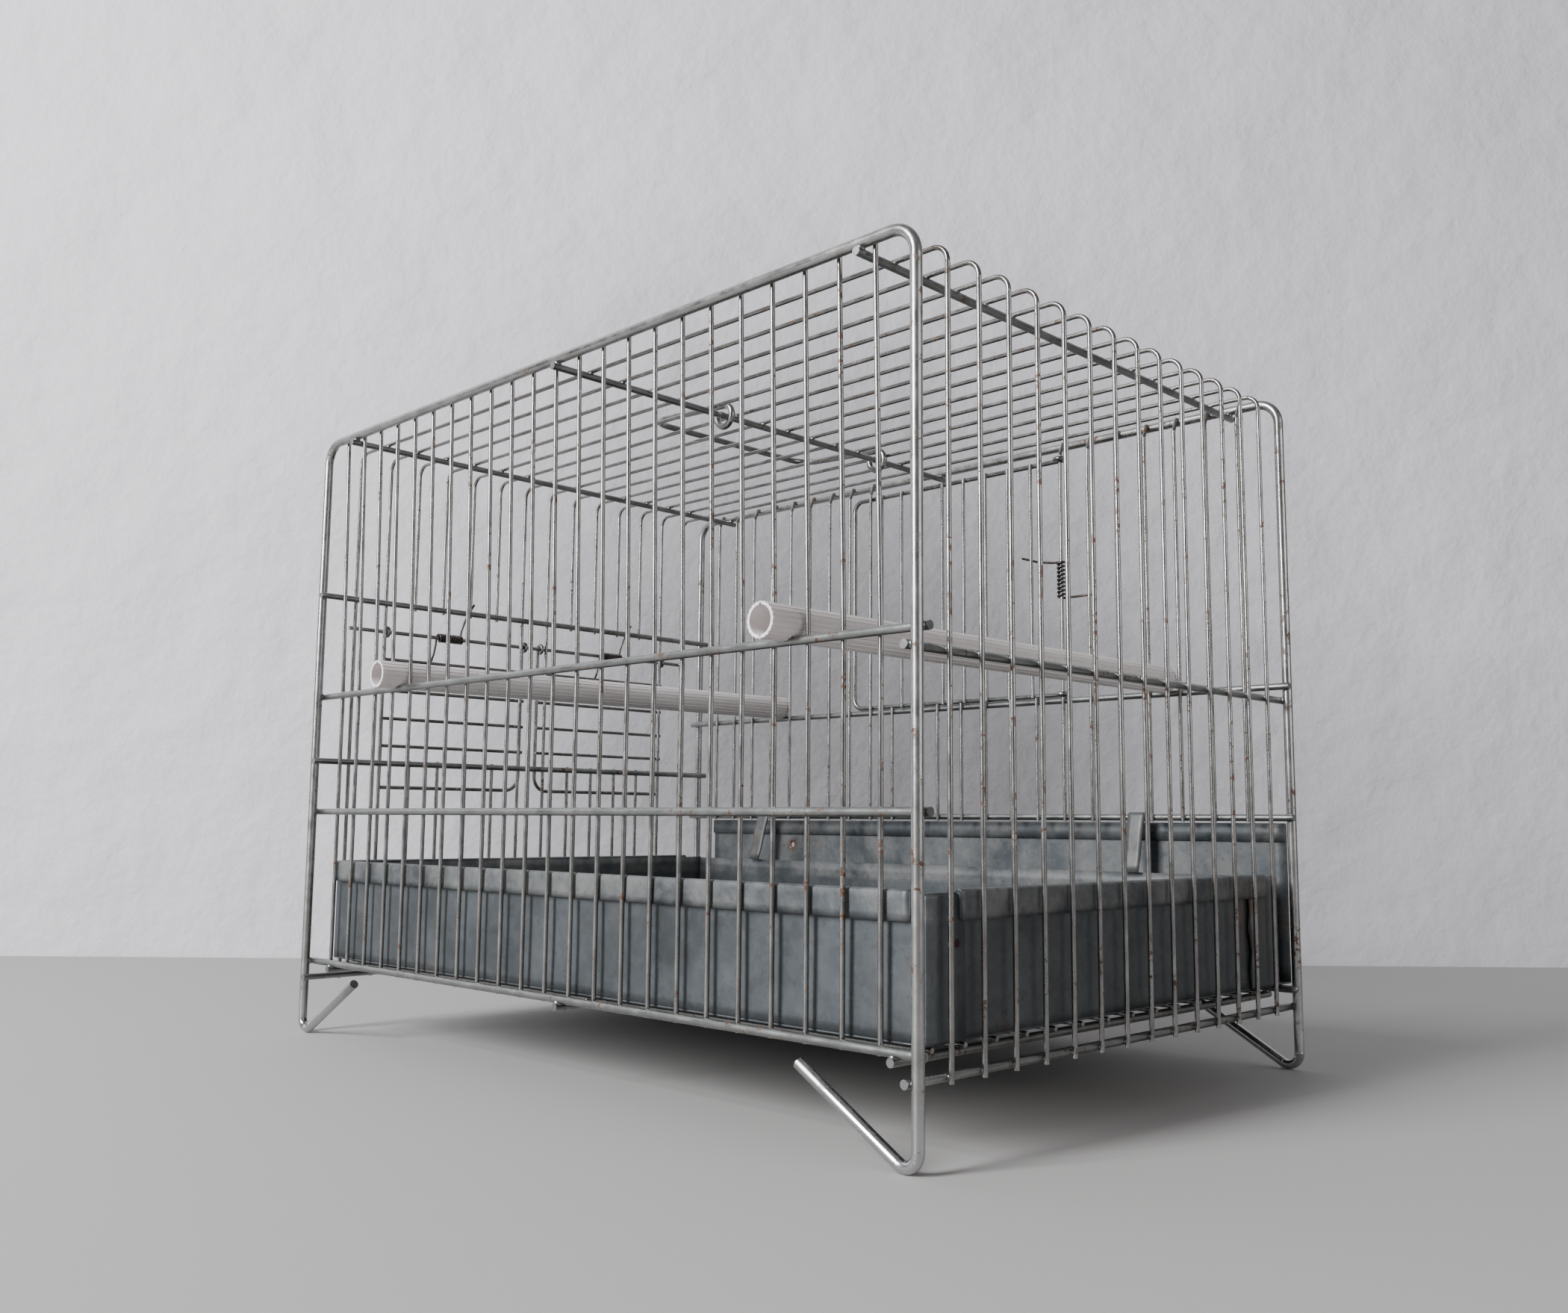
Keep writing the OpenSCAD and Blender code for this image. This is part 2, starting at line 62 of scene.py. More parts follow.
class Graph:
    """Short way to build a node material."""

    def __init__(self, name):
        self.mat = bpy.data.materials.new(name)
        self.mat.use_nodes = True
        self.tree = self.mat.node_tree
        self.bsdf = self.tree.nodes["Principled BSDF"]
        self.coord = self.tree.nodes.new("ShaderNodeTexCoord").outputs["Object"]

    def put(self, socket, value):
        """Links a socket, or sets its value."""
        if isinstance(value, bpy.types.NodeSocket):
            self.tree.links.new(value, socket)
        else:
            socket.default_value = value

    def set(self, **values):
        """Fills in the finish, a space in an input's name written as _."""
        for name, value in values.items():
            self.put(self.bsdf.inputs[name.replace("_", " ")], value)

    def stretch(self, scale):
        node = self.tree.nodes.new("ShaderNodeMapping")
        node.inputs["Scale"].default_value = scale
        self.put(node.inputs["Vector"], self.coord)
        return node.outputs["Vector"]

    def noise(self, scale, detail=3.0, rough=0.55, vector=None):
        node = self.tree.nodes.new("ShaderNodeTexNoise")
        node.inputs["Scale"].default_value = scale
        node.inputs["Detail"].default_value = detail
        node.inputs["Roughness"].default_value = rough
        self.put(node.inputs["Vector"], vector or self.coord)
        return node.outputs["Fac"]

    def cells(self, scale):
        node = self.tree.nodes.new("ShaderNodeTexVoronoi")
        node.inputs["Scale"].default_value = scale
        self.put(node.inputs["Vector"], self.coord)
        return node.outputs["Color"]

    def axis(self, name):
        node = self.tree.nodes.new("ShaderNodeSeparateXYZ")
        self.put(node.inputs[0], self.coord)
        return node.outputs[name]

    def ramp(self, fac, *stops):
        node = self.tree.nodes.new("ShaderNodeValToRGB")
        ramp = node.color_ramp
        while len(ramp.elements) < len(stops):
            ramp.elements.new(0.5)
        for element, (place, colour) in zip(ramp.elements, stops):
            element.position = place
            element.color = (*colour, 1)
        self.put(node.inputs["Fac"], fac)
        return node.outputs["Color"]

    def level(self, fac, low, high, out_low=0.0, out_high=1.0):
        """Stretches low to high over out_low to out_high."""
        node = self.tree.nodes.new("ShaderNodeMapRange")
        for name, value in (("Value", fac), ("From Min", low), ("From Max", high),
                            ("To Min", out_low), ("To Max", out_high)):
            self.put(node.inputs[name], value)
        return node.outputs["Result"]

    def mix(self, fac, a, b):
        node = self.tree.nodes.new("ShaderNodeMix")
        node.data_type = "RGBA"
        self.put(node.inputs["Factor"], fac)
        self.put(node.inputs["A"], a if isinstance(a, bpy.types.NodeSocket) else (*a, 1))
        self.put(node.inputs["B"], b if isinstance(b, bpy.types.NodeSocket) else (*b, 1))
        return node.outputs["Result"]

    def math(self, op, a, b=0.0):
        node = self.tree.nodes.new("ShaderNodeMath")
        node.operation = op
        self.put(node.inputs[0], a)
        self.put(node.inputs[1], b)
        return node.outputs["Value"]

    def near(self, place, inner, outer):
        """1 within inner of a point, 0 beyond outer."""
        node = self.tree.nodes.new("ShaderNodeVectorMath")
        node.operation = "DISTANCE"
        self.put(node.inputs[0], self.coord)
        node.inputs[1].default_value = place
        return self.level(node.outputs["Value"], inner, outer, 1.0, 0.0)

    def bump(self, height, strength, distance):
        node = self.tree.nodes.new("ShaderNodeBump")
        node.inputs["Strength"].default_value = strength
        node.inputs["Distance"].default_value = distance
        self.put(node.inputs["Height"], height)
        return node.outputs["Normal"]


RUST = (0.085, 0.042, 0.024)
DIRT = (0.045, 0.038, 0.032)
OXIDE = (0.42, 0.42, 0.395)
TOE = (0.46, 0.455, 0.46)
RUN = (0.085, 0.078, 0.068)
WORN_RIM = (0.15, 0.146, 0.134)
# Painted shade of the lap's small hole, which is not cut: a dark reddish disc
PAINTED_HOLE_SHADE = (0.03, 0.012, 0.008)
GRIME = (0.25, 0.20, 0.17)

# Heights over which the bright worn toes of the feet fade out and the wear of the tray comes in
TOE_FADE = (0.012, 0.026)
RIM_WEAR = (0.0705, 0.0725)
PLATE_WEAR = (0.022, 0.078)


def galvanised(name, light, dark, rust_at, rough=0.26):
    """Old zinc on round wire: mottled grey, dark pits, brown specks above rust_at, bright worn toes."""
    g = Graph(name)
    zinc = g.ramp(g.noise(90, 3), (0.2, dark), (0.8, light))
    pale = g.level(g.noise(85, 4, 0.7), 0.66, 0.80)
    zinc = g.mix(g.math("MULTIPLY", pale, 0.25), zinc, OXIDE)
    pits = g.level(g.noise(800, 2, 0.6), 0.66, 0.73)
    zinc = g.mix(g.math("MULTIPLY", pits, 0.4), zinc, DIRT)
    brown = g.level(g.axis("X"), -0.19, 0.05, 0.07, 0.0)
    patches = g.level(g.math("ADD", g.noise(60, 2), brown), rust_at, rust_at + 0.10)
    specks = g.level(g.noise(420, 3, 0.6), 0.55, 0.62)
    above_toes = g.level(g.axis("Z"), *TOE_FADE)
    stain = g.math("MULTIPLY", g.math("MULTIPLY", patches, specks), above_toes)
    zinc = g.mix(above_toes, TOE, zinc)
    dull = g.math("MAXIMUM", stain, g.math("MULTIPLY", pits, 0.5))
    gloss = g.level(g.noise(160, 2), 0.3, 0.7, rough - 0.04, rough + 0.10)
    g.set(Base_Color=g.mix(stain, zinc, RUST),
          Metallic=g.level(dull, 0, 1, 0.98, 0.2),
          Roughness=g.math("MULTIPLY", gloss, g.level(above_toes, 0, 1, 0.7, 1.0)),
          Normal=g.bump(g.noise(700, 2), 0.07, 0.0002))
    return g.mat


# Middle of the plate's hole, of the small hole in the left lap, which is not cut but shown by a dark reddish disc
# of painted shade, and of the torn seam at the left front
PLATE_HOLE = Vector((0.112, -0.1301, 0.0883))
PLATE_HOLE_R = 1.5 * MM
LAP_HOLE = Vector((-0.1857, 0.1012, 0.0646))
SEAM = Vector((-0.186, -0.094, 0.066))


def sheet_metal(name, light, dark, stained=0.5, wear=RIM_WEAR):
    """Dull zinc-coated sheet: spangle, cloudy film, runs, a worn rim, rust round holes and seams, and painted
    shade standing for the lap's uncut hole.
    """
    g = Graph(name)
    spangle = g.level(g.cells(330), 0.0, 1.0)
    cloud = g.level(g.noise(26, 5, 0.62), 0.34, 0.66)
    tone = g.ramp(g.math("ADD", g.math("MULTIPLY", spangle, 0.35), g.math("MULTIPLY", cloud, 0.65)),
                  (0.1, dark), (0.9, light))
    runs = g.level(g.noise(48, 5, 0.7, g.stretch((1, 1, 0.2))), 0.56, 0.70)
    tone = g.mix(g.math("MULTIPLY", runs, 0.35 * stained), tone, RUN)
    rim = g.level(g.axis("Z"), *wear)
    worn = g.math("MULTIPLY", rim, g.level(g.noise(55, 5, 0.7), 0.40, 0.62))
    tone = g.mix(g.math("MULTIPLY", worn, 0.45), tone, WORN_RIM)
    dots = g.math("MULTIPLY", g.level(g.noise(420, 3, 0.7), 0.60, 0.68), 0.5)
    tone = g.mix(dots, tone, DIRT)
    grain = g.level(g.noise(240, 4, 0.7), 0.46, 0.60)
    rusty = g.math("MULTIPLY", g.level(g.noise(24, 3), 0.62, 0.72), grain)
    rusty = g.math("MAXIMUM", rusty, g.math("MULTIPLY", g.near(SEAM, 0.004, 0.022), grain))
    rusty = g.math("MAXIMUM", rusty, g.near(PLATE_HOLE, 0.0024, 0.0044))
    tone = g.mix(g.math("MULTIPLY", rusty, 0.9), tone, RUST)
    # painted shade: a dark reddish disc stands for the lap's hole, which is not cut in the sheet
    painted_hole = g.near(LAP_HOLE, 0.0012, 0.0017)
    g.set(Base_Color=g.mix(painted_hole, tone, PAINTED_HOLE_SHADE),
          Metallic=g.level(g.math("MAXIMUM", rusty, worn), 0, 1, 0.62, 0.15),
          Roughness=g.level(cloud, 0, 1, 0.42, 0.58),
          Normal=g.bump(g.noise(620, 3), 0.12, 0.0003))
    return g.mat


def perch_plastic():
    """Off-white plastic, greyed and streaked along its length."""
    g = Graph("perch_plastic")
    grime = g.noise(60, 4, 0.6, g.stretch((1.0, 0.15, 1.0)))
    tone = g.ramp(grime, (0.3, (0.54, 0.50, 0.495)), (0.64, (0.72, 0.685, 0.68)))
    dots = g.level(g.noise(340, 3, 0.7), 0.62, 0.72)
    g.set(Base_Color=g.mix(g.math("MULTIPLY", dots, 0.5), tone, GRIME),
          Roughness=g.level(g.noise(120, 3), 0.3, 0.7, 0.46, 0.66),
          Subsurface_Weight=0.08, Subsurface_Scale=0.002,
          Normal=g.bump(g.noise(800, 3), 0.15, 0.0003))
    return g.mat


MATERIALS = {
    "hoop": galvanised("hoop_zinc", (0.42, 0.42, 0.41), (0.21, 0.21, 0.205), 0.56, 0.26),
    "rod": galvanised("rod_zinc", (0.31, 0.32, 0.31), (0.15, 0.155, 0.15), 0.56, 0.32),
    "thin_wire": galvanised("thin_wire_zinc", (0.33, 0.33, 0.32), (0.155, 0.15, 0.145), 0.55, 0.22),
    "bar_wire": galvanised("bar_wire_zinc", (0.29, 0.29, 0.28), (0.14, 0.135, 0.13), 0.57, 0.24),
    "frame_wire": galvanised("frame_wire_zinc", (0.29, 0.29, 0.285), (0.14, 0.14, 0.135), 0.57, 0.24),
    "handle_wire": galvanised("handle_wire_zinc", (0.33, 0.33, 0.32), (0.16, 0.16, 0.155), 0.62, 0.24),
    "spring": galvanised("spring_steel", (0.10, 0.095, 0.09), (0.04, 0.036, 0.034), 0.50, 0.34),
    "tray_sheet": sheet_metal("tray_zinc", (0.086, 0.095, 0.101), (0.046, 0.052, 0.056), 1.0),
    "front_sheet": sheet_metal("front_zinc", (0.088, 0.098, 0.106), (0.046, 0.054, 0.060),
                               wear=PLATE_WEAR),
    "stop_sheet": sheet_metal("stop_zinc", (0.088, 0.090, 0.090), (0.052, 0.054, 0.056)),
    "perch": perch_plastic(),
}


def dress(obj, slot):
    obj.data.materials.clear()
    obj.data.materials.append(MATERIALS[slot])


for part_node, part_slot in SLOTS.items():
    dress(NODES[part_node], part_slot)


# ---------------------------------------------------------------- pieces

def joint_place(name):
    return Vector(next(j for j in frame["joints"] if j["name"] == name)["pos_m"])


def add_piece(name, bm, slot, smooth=True):
    """Turns a bmesh into a piece with its material."""
    bmesh.ops.recalc_face_normals(bm, faces=bm.faces)
    mesh = bpy.data.meshes.new(name)
    bm.to_mesh(mesh)
    bm.free()
    for face in mesh.polygons:
        face.use_smooth = smooth
    obj = bpy.data.objects.new(name, mesh)
    bpy.context.collection.objects.link(obj)
    dress(obj, slot)
    return obj


def tube(bm, points, radius, sides=10):
    """Round wire along a list of points, closed at both ends."""
    rings = []
    side = None
    for i, point in enumerate(points):
        ahead = (points[min(i + 1, len(points) - 1)] - points[max(i - 1, 0)]).normalized()
        if side is None:
            side = ahead.orthogonal().normalized()
        side = (side - ahead * side.dot(ahead)).normalized()
        up = ahead.cross(side)
        turns = [2 * math.pi * k / sides for k in range(sides)]
        ring = [point + radius * (math.cos(t) * side + math.sin(t) * up) for t in turns]
        rings.append([bm.verts.new(p) for p in ring])
    for a, b in zip(rings, rings[1:]):
        for k in range(sides):
            bm.faces.new((a[k], a[(k + 1) % sides], b[(k + 1) % sides], b[k]))
    bm.faces.new(rings[0][::-1])
    bm.faces.new(rings[-1])


def grid(bm, rows):
    """Quads between rows of points."""
    made = [[bm.verts.new(p) for p in row] for row in rows]
    for a, b in zip(made, made[1:]):
        for k in range(len(a) - 1):
            bm.faces.new((a[k], a[k + 1], b[k + 1], b[k]))


# ---------------------------------------------------------------- weld beads

def triangles(node):
    mesh = NODES[node].data
    mesh.calc_loop_triangles()
    return [v.co.copy() for v in mesh.vertices], [tuple(t.vertices) for t in mesh.loop_triangles]


def edge_hits(edges_of, face):
    """Points where the edges of one triangle pass through another."""
    for a, b in ((0, 1), (1, 2), (2, 0)):
        start, way = edges_of[a], edges_of[b] - edges_of[a]
        hit = intersect_ray_tri(*face, way, start)
        if hit is not None and (hit - start).dot(way) <= way.length_squared and (hit - start).dot(way) >= 0:
            yield hit


ONE_WELD = 3.2 * MM


def crossings(a, b, meshes):
    """Centres of the places where the wires of two nodes run into each other."""
    (va, ta, tree_a), (vb, tb, tree_b) = meshes[a], meshes[b]
    groups = []
    for i, j in tree_a.overlap(tree_b):
        p, q = [va[k] for k in ta[i]], [vb[k] for k in tb[j]]
        for hit in [*edge_hits(p, q), *edge_hits(q, p)]:
            for group in groups:
                if (group[0] / group[1] - hit).length < ONE_WELD:
                    group[0] += hit
                    group[1] += 1
                    break
            else:
                groups.append([hit.copy(), 1])
    return [total / count for total, count in groups]


# Radius of a weld bead for each kind of wire
BEAD = {
    "thin_wire": 1.02 * MM,
    "bar_wire": 1.02 * MM,
    "frame_wire": 1.25 * MM,
    "rod": 1.5 * MM,
    "hoop": 1.9 * MM,
}


def weld_beads(body, rng):
    """Lumps of melted zinc where the wires of one body cross."""
    nodes = [n for n in BODIES[body] if SLOTS[n] in BEAD]
    meshes = {}
    for node in nodes:
        verts, tris = triangles(node)
        meshes[node] = (verts, tris, BVHTree.FromPolygons(verts, tris))
    bm = bmesh.new()
    for i, a in enumerate(nodes):
        for b in nodes[i + 1:]:
            size = min(BEAD[SLOTS[a]], BEAD[SLOTS[b]])
            for centre in crossings(a, b, meshes):
                turn = Matrix.Rotation(rng.uniform(0, math.pi), 4, Vector((rng.random(), rng.random(), 1)))
                made = bmesh.ops.create_icosphere(bm, subdivisions=2, radius=size * rng.uniform(0.96, 1.2))
                for vert in made["verts"]:
                    lump = 1 + 0.28 * noise.noise(vert.co * 900 + centre * 3000)
                    vert.co = centre + turn @ (vert.co * lump)
    if not bm.faces:
        bm.free()
        return
    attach(add_piece(body + "_welds", bm, "rod"), body)


# ---------------------------------------------------------------- tray

def wave(place, size, seed):
    """Smooth random number between about -1 and 1."""
    return noise.noise(Vector(place) / size + Vector((seed, seed * 1.7, -seed)))


class Tray:
    """Sizes of the folded sheet, taken from the CAD pan and plate."""
    low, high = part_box("tray_pan")
    plate_low, plate_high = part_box("tray_front")
    hem_out = 2.0 * MM
    hem_drop = 9.5 * MM
    tongue = 11.7 * MM
    sheet = 0.7 * MM
    skin = 0.4 * MM
    left, right = plate_low.x, plate_high.x
    front, back = low.y + tongue, high.y - hem_out
    rim = high.z
    floor = low.z + sheet / 2


def wall(bm, start, along, out, length, hem, seed):
    """One wall of the pan with its rim rolled over to the outside between hem[0] and hem[1]."""
    steps = round(length / (5 * MM))
    top = Tray.rim - MM
    levels = [Tray.floor + (top - Tray.floor) * k / 12 for k in range(13)]

    def push(run, z):
        """Dents of the wall, fading out at the corners and the floor."""
        from_ends = min(1.0, run / (25 * MM), (length - run) / (25 * MM))
        fade = from_ends * min(1.0, (z - Tray.floor) / (20 * MM))
        return 0.55 * MM * fade * wave((run, z, 0), 0.055, seed)

    def at(run, offset, z):
        return start + along * run + out * (offset - Tray.skin + push(run, z)) + Vector((0, 0, z))

    grid(bm, [[at(length * s / steps, 0, z) for z in levels] for s in range(steps + 1)])
    rows = []
    for s in range(steps * 2 + 1):
        part = s / steps / 2
        run = hem[0] + (hem[1] - hem[0]) * part
        slack = 0.35 * MM * wave((part * length, 0, 0), 0.022, seed + 5)
        row = []
        for turn in range(0, 181, 30):
            a = math.radians(180 - turn)
            row.append(at(run, Tray.hem_out / 2 * (1 + math.cos(a)), top + MM * 0.8 * math.sin(a)))
        for down in (0.2, 0.45, 0.7, 1.0):
            drop = (Tray.hem_drop - MM) * down + (slack * 0.6 if down == 1.0 else 0)
            row.append(at(run, Tray.hem_out - slack * down, top - drop))
        rows.append(row)
    grid(bm, rows)
    for row in (rows[0], rows[-1]):
        foot = row[-1] - out * (Tray.hem_out - Tray.sheet)
        bm.faces.new([bm.verts.new(p) for p in [*row, foot]])


def lap(bm, side, run, ragged, seed):
    """Tab of sheet folded round a corner and laid on the outside of a side wall."""
    x = (Tray.left - 0.35 * MM) if side < 0 else (Tray.right + 0.35 * MM)
    start, end = run
    rows = []
    for k in range(41):
        z = Tray.floor + (Tray.rim - 1.5 * MM - Tray.floor) * k / 40
        edge = end + ragged * wave((0, 0, z), 0.011, seed)
        curl = 0.35 * MM + ragged * 0.35 * abs(wave((1, 0, z), 0.016, seed))
        lift = (0.0, 0.05 * MM, 0.1 * MM, curl)
        ys = [start + (edge - start) * i / 3 for i in range(4)]
        rows.append([Vector((x + side * up, y, z)) for up, y in zip(lift, ys)])
    grid(bm, rows)


def tray_pan():
    """Open pan of thin sheet: slightly buckled floor, four walls, rolled rims and lapped corners."""
    bm = bmesh.new()
    width, depth = Tray.right - Tray.left, Tray.back - Tray.front
    xs = [Tray.left + width * i / 44 for i in range(45)]
    ys = [Tray.low.y + (Tray.back - Tray.low.y) * i / 30 for i in range(31)]

    def buckled(x, y):
        return Vector((x, y, Tray.floor + 0.25 * MM * max(0, wave((x, y, 0), 0.07, 3))))

    grid(bm, [[buckled(x, y) for y in ys] for x in xs])
    left_back, right_back = Vector((Tray.left, Tray.back, 0)), Vector((Tray.right, Tray.back, 0))
    to_right, to_back = Vector((1, 0, 0)), Vector((0, 1, 0))
    corner, front_gap = 2.5 * MM, 12 * MM
    wall(bm, left_back, to_right, to_back, width, (corner + 2 * MM, width - corner), 1.3)
    wall(bm, left_back, -to_back, -to_right, depth, (16.5 * MM, depth - front_gap), 2.1)
    wall(bm, right_back, -to_back, to_right, depth, (corner, depth - front_gap), 4.6)
    front_face, front_top = Tray.front + Tray.skin, Tray.rim - 1.4 * MM
    zs = [Tray.floor + (front_top - Tray.floor) * k / 9 for k in range(10)]
    grid(bm, [[Vector((x, front_face, z)) for z in zs] for x in xs])
    for side in (-1, 1):
        lap(bm, side, (Tray.back - Tray.skin, Tray.back - 19 * MM), 0.3 * MM, 7.0 + side)
    lap(bm, -1, (front_face, Tray.front + 25.5 * MM), 2.2 * MM, 9.0)
    lap(bm, 1, (front_face, Tray.front + 19 * MM), 0.5 * MM, 11.0)
    pan = add_piece("tray_pan_sheet", bm, "tray_sheet")
    thicken(pan)
    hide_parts("tray_pan")
    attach(pan, "tray")


def with_lines(values, centre, half):
    """The values with the two edges of a band round centre put in and the ones near it left out."""
    kept = [v for v in values if abs(v - centre) > half * 1.3]
    return sorted([*kept, centre - half, centre + half])


def tray_plate():
    """Front plate of the tray, its top folded down on the inside, with one worn hole."""
    bm = bmesh.new()
    low, high = Tray.plate_low, Tray.plate_high
    face = low.y + Tray.skin
    top = high.z - 0.9 * MM
    hole, half = PLATE_HOLE, 2.6 * MM
    fold = [(0.25 * MM, high.z - 0.45 * MM), (0.7 * MM, high.z - 0.4 * MM), (1.05 * MM, top),
            (1.1 * MM, high.z - 4 * MM), (1.15 * MM, high.z - 8 * MM)]
    flat = with_lines([low.z + (top - low.z) * k / 8 for k in range(9)], hole.z, half)
    xs = with_lines([low.x + (high.x - low.x) * s / 72 for s in range(73)], hole.x, half)

    def at(x, inward, z):
        dent = 0.35 * MM * wave((x, 0, z), 0.06, 6) * min(1, (z - low.z) / (40 * MM))
        return Vector((x, face + inward + dent, z))

    outline = [(0, z) for z in flat] + fold
    sheet = [[bm.verts.new(at(x, inward, z)) for inward, z in outline] for x in xs]
    i = xs.index(hole.x - half)
    k = flat.index(hole.z - half)
    for s, (a, b) in enumerate(zip(sheet, sheet[1:])):
        for m in range(len(a) - 1):
            if (s, m) != (i, k):
                bm.faces.new((a[m], a[m + 1], b[m + 1], b[m]))
    corners = [sheet[i + 1][k + 1], sheet[i][k + 1], sheet[i][k], sheet[i + 1][k]]
    edge = []
    for turn in range(16):
        a = 2 * math.pi * turn / 16
        x, z = hole.x + PLATE_HOLE_R * math.cos(a), hole.z + PLATE_HOLE_R * math.sin(a)
        edge.append(bm.verts.new(at(x, 0, z)))
    for q, corner in enumerate(corners):
        for turn in range(4 * q, 4 * q + 4):
            bm.faces.new((corner, edge[turn], edge[(turn + 1) % 16]))
        bm.faces.new((corner, edge[(4 * q + 4) % 16], corners[(q + 1) % 4]))
    plate = add_piece("tray_front_sheet", bm, "front_sheet")
    thicken(plate)
    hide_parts("tray_front")
    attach(plate, "tray")


def thicken(obj):
    """Gives a single-skin sheet its thickness."""
    solid = obj.modifiers.new("thickness", "SOLIDIFY")
    solid.thickness = Tray.sheet
    solid.offset = 0


def tray_stop(side, lean):
    """Strip of sheet curled over the front rail, its tail leaning into the pan and aside by lean."""
    node = side + "_tray_stop"
    low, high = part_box(node)
    axis = joint_place(side + "_stop_hinge")
    radius, tail = 2.0 * MM, 25.6 * MM
    curl = [math.radians(a) for a in range(237, 6, -15)]
    path = [(radius * math.cos(a), radius * math.sin(a)) for a in curl]
    tilt = curl[-1]
    for k in range(1, 9):
        bow = 0.35 * MM * math.sin(k * 0.8)
        path.append((radius * math.cos(tilt) + tail * k / 8 * math.sin(tilt) + bow,
                     radius * math.sin(tilt) - tail * k / 8 * math.cos(tilt)))
    bm = bmesh.new()
    rows = []
    for u, v in path:
        along = max(0.0, -v / tail)
        row = []
        for k in range(5):
            pinch = 0.4 * MM * along * (2 - k) / 2
            across = low.x - axis.x + (high.x - low.x) * k / 4 + lean * along + pinch
            row.append(axis + Vector((across, u, v)))
        rows.append(row)
    grid(bm, rows)
    stop = add_piece(side + "_stop_strip", bm, "stop_sheet")
    thicken(stop)
    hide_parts(node)
    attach(stop, side + "_stop")


# ---------------------------------------------------------------- springs

SPRING_WIRE = 0.6 * MM


def coil(radius, start, end, pitch, legs):
    """Points of a torsion spring round Z, turned from start to end degrees, its two legs (length, rise)."""
    (first_leg, first_rise), (last_leg, last_rise) = legs

    def at(t):
        a = math.radians(t)
        return Vector((radius * math.cos(a), radius * math.sin(a), pitch * t / 360))

    def away(t):
        return Vector((-math.sin(math.radians(t)), math.cos(math.radians(t)), 0))

    count = round((end - start) / 15)
    body = [at(start + (end - start) * k / count) for k in range(count + 1)]
    up = Vector((0, 0, 1))
    parts = (0.25, 0.6, 1)
    first = [body[0] - away(start) * first_leg * f - up * first_rise * f * f for f in reversed(parts)]
    last = [body[-1] + away(end) * last_leg * f + up * last_rise * f * f for f in parts]
    return first + body + last


def spring(name, place, points):
    """Replaces a CAD spring with a coil of round wire set between the cage and the body it closes."""
    bm = bmesh.new()
    tube(bm, [place @ p for p in points], SPRING_WIRE, 8)
    piece = add_piece(name + "_coil", bm, "spring")
    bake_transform(piece)
    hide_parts(name)


def door_spring():
    hinge = joint_place("door_hinge")
    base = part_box("door_spring")[0].z + SPRING_WIRE
    pitch, start, end = 1.98 * MM, 271, 267.5 + 360 * 9
    points = coil(1.75 * MM, start, end, pitch, ((17 * MM, 0), (25 * MM, 5 * MM)))
    place = Matrix.Translation((hinge.x, hinge.y, base - pitch * start / 360))
    spring("door_spring", place, points)


def hatch_spring(side):
    hinge = joint_place(side + "_hatch_hinge")
    leg = 3 * MM
    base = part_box(side + "_hatch_spring")[1].y - leg - SPRING_WIRE
    pitch, start, end = 1.42 * MM, 3, 8 + 360 * 10
    points = coil(1.85 * MM, start, end, pitch, ((15 * MM, leg), (20 * MM, 6.5 * MM)))
    place = Matrix.Translation((hinge.x, base, hinge.z)) @ Matrix.Rotation(math.radians(90), 4, "X")
    spring(side + "_hatch_spring", place, points)


tray_pan()
tray_plate()
tray_stop("left", 0.4 * MM)
tray_stop("right", 2.6 * MM)
door_spring()
hatch_spring("rear")
hatch_spring("front")
bead_rng = random.Random(11)
for body_name in ("cage", "door", "rear_hatch", "front_hatch"):
    weld_beads(body_name, bead_rng)


# ---------------------------------------------------------------- stage, light and camera

# The camera's place and compass heading, the wall's distance from it and where the floor fades out
EYE = Vector((-0.4503, 0.4424, 0.1012))
HEADING = math.radians(135.77)
AHEAD = Vector((math.sin(HEADING), math.cos(HEADING), 0))
SIDEWAYS = AHEAD.cross(Vector((0, 0, 1)))
WALL_AWAY = 1.02
FLOOR_FADE = (1.1, 1.75)

# Middle, size and depth of the painted shade behind the cage: a soft shadow of the cage painted into the wall's
# colour
SHADE_AT = Vector((EYE.x, EYE.y, 0.175)) + AHEAD * WALL_AWAY + SIDEWAYS * 0.03
SHADE_REACH = (0.02, 0.48)
SHADE_DEPTH = 0.66

TO_WINDOW = Vector((0.45, 0.75, 0.5)).normalized()
SEEN_SKY = 0.62


def plaster(name, light, dark):
    """Plain pale paint with a faint unevenness."""
    g = Graph(name)
    tone = g.ramp(g.noise(2.2, 5, 0.6), (0.35, dark), (0.65, light))
    g.set(Base_Color=tone, Roughness=0.75, Normal=g.bump(g.noise(20, 7, 0.6), 0.04, 0.02))
    return g


def look_through(g, hidden):
    """Lets the camera look through a surface where hidden is 1."""
    nodes, links = g.tree.nodes, g.tree.links
    mix = nodes.new("ShaderNodeMixShader")
    links.new(hidden, mix.inputs[0])
    links.new(g.bsdf.outputs[0], mix.inputs[1])
    links.new(nodes.new("ShaderNodeBsdfTransparent").outputs[0], mix.inputs[2])
    links.new(mix.outputs[0], nodes["Material Output"].inputs["Surface"])


def floor_plaster(name, light, dark):
    """Plain paint that fades into the pale surround far from the cage."""
    g = plaster(name, light, dark)
    g.coord = g.tree.nodes.new("ShaderNodeNewGeometry").outputs["Position"]
    close = g.near((0, 0, 0), *FLOOR_FADE)
    close.node.interpolation_type = "SMOOTHSTEP"
    camera_ray = g.tree.nodes.new("ShaderNodeLightPath").outputs["Is Camera Ray"]
    look_through(g, g.math("MULTIPLY", g.math("SUBTRACT", 1.0, close), camera_ray))
    return g


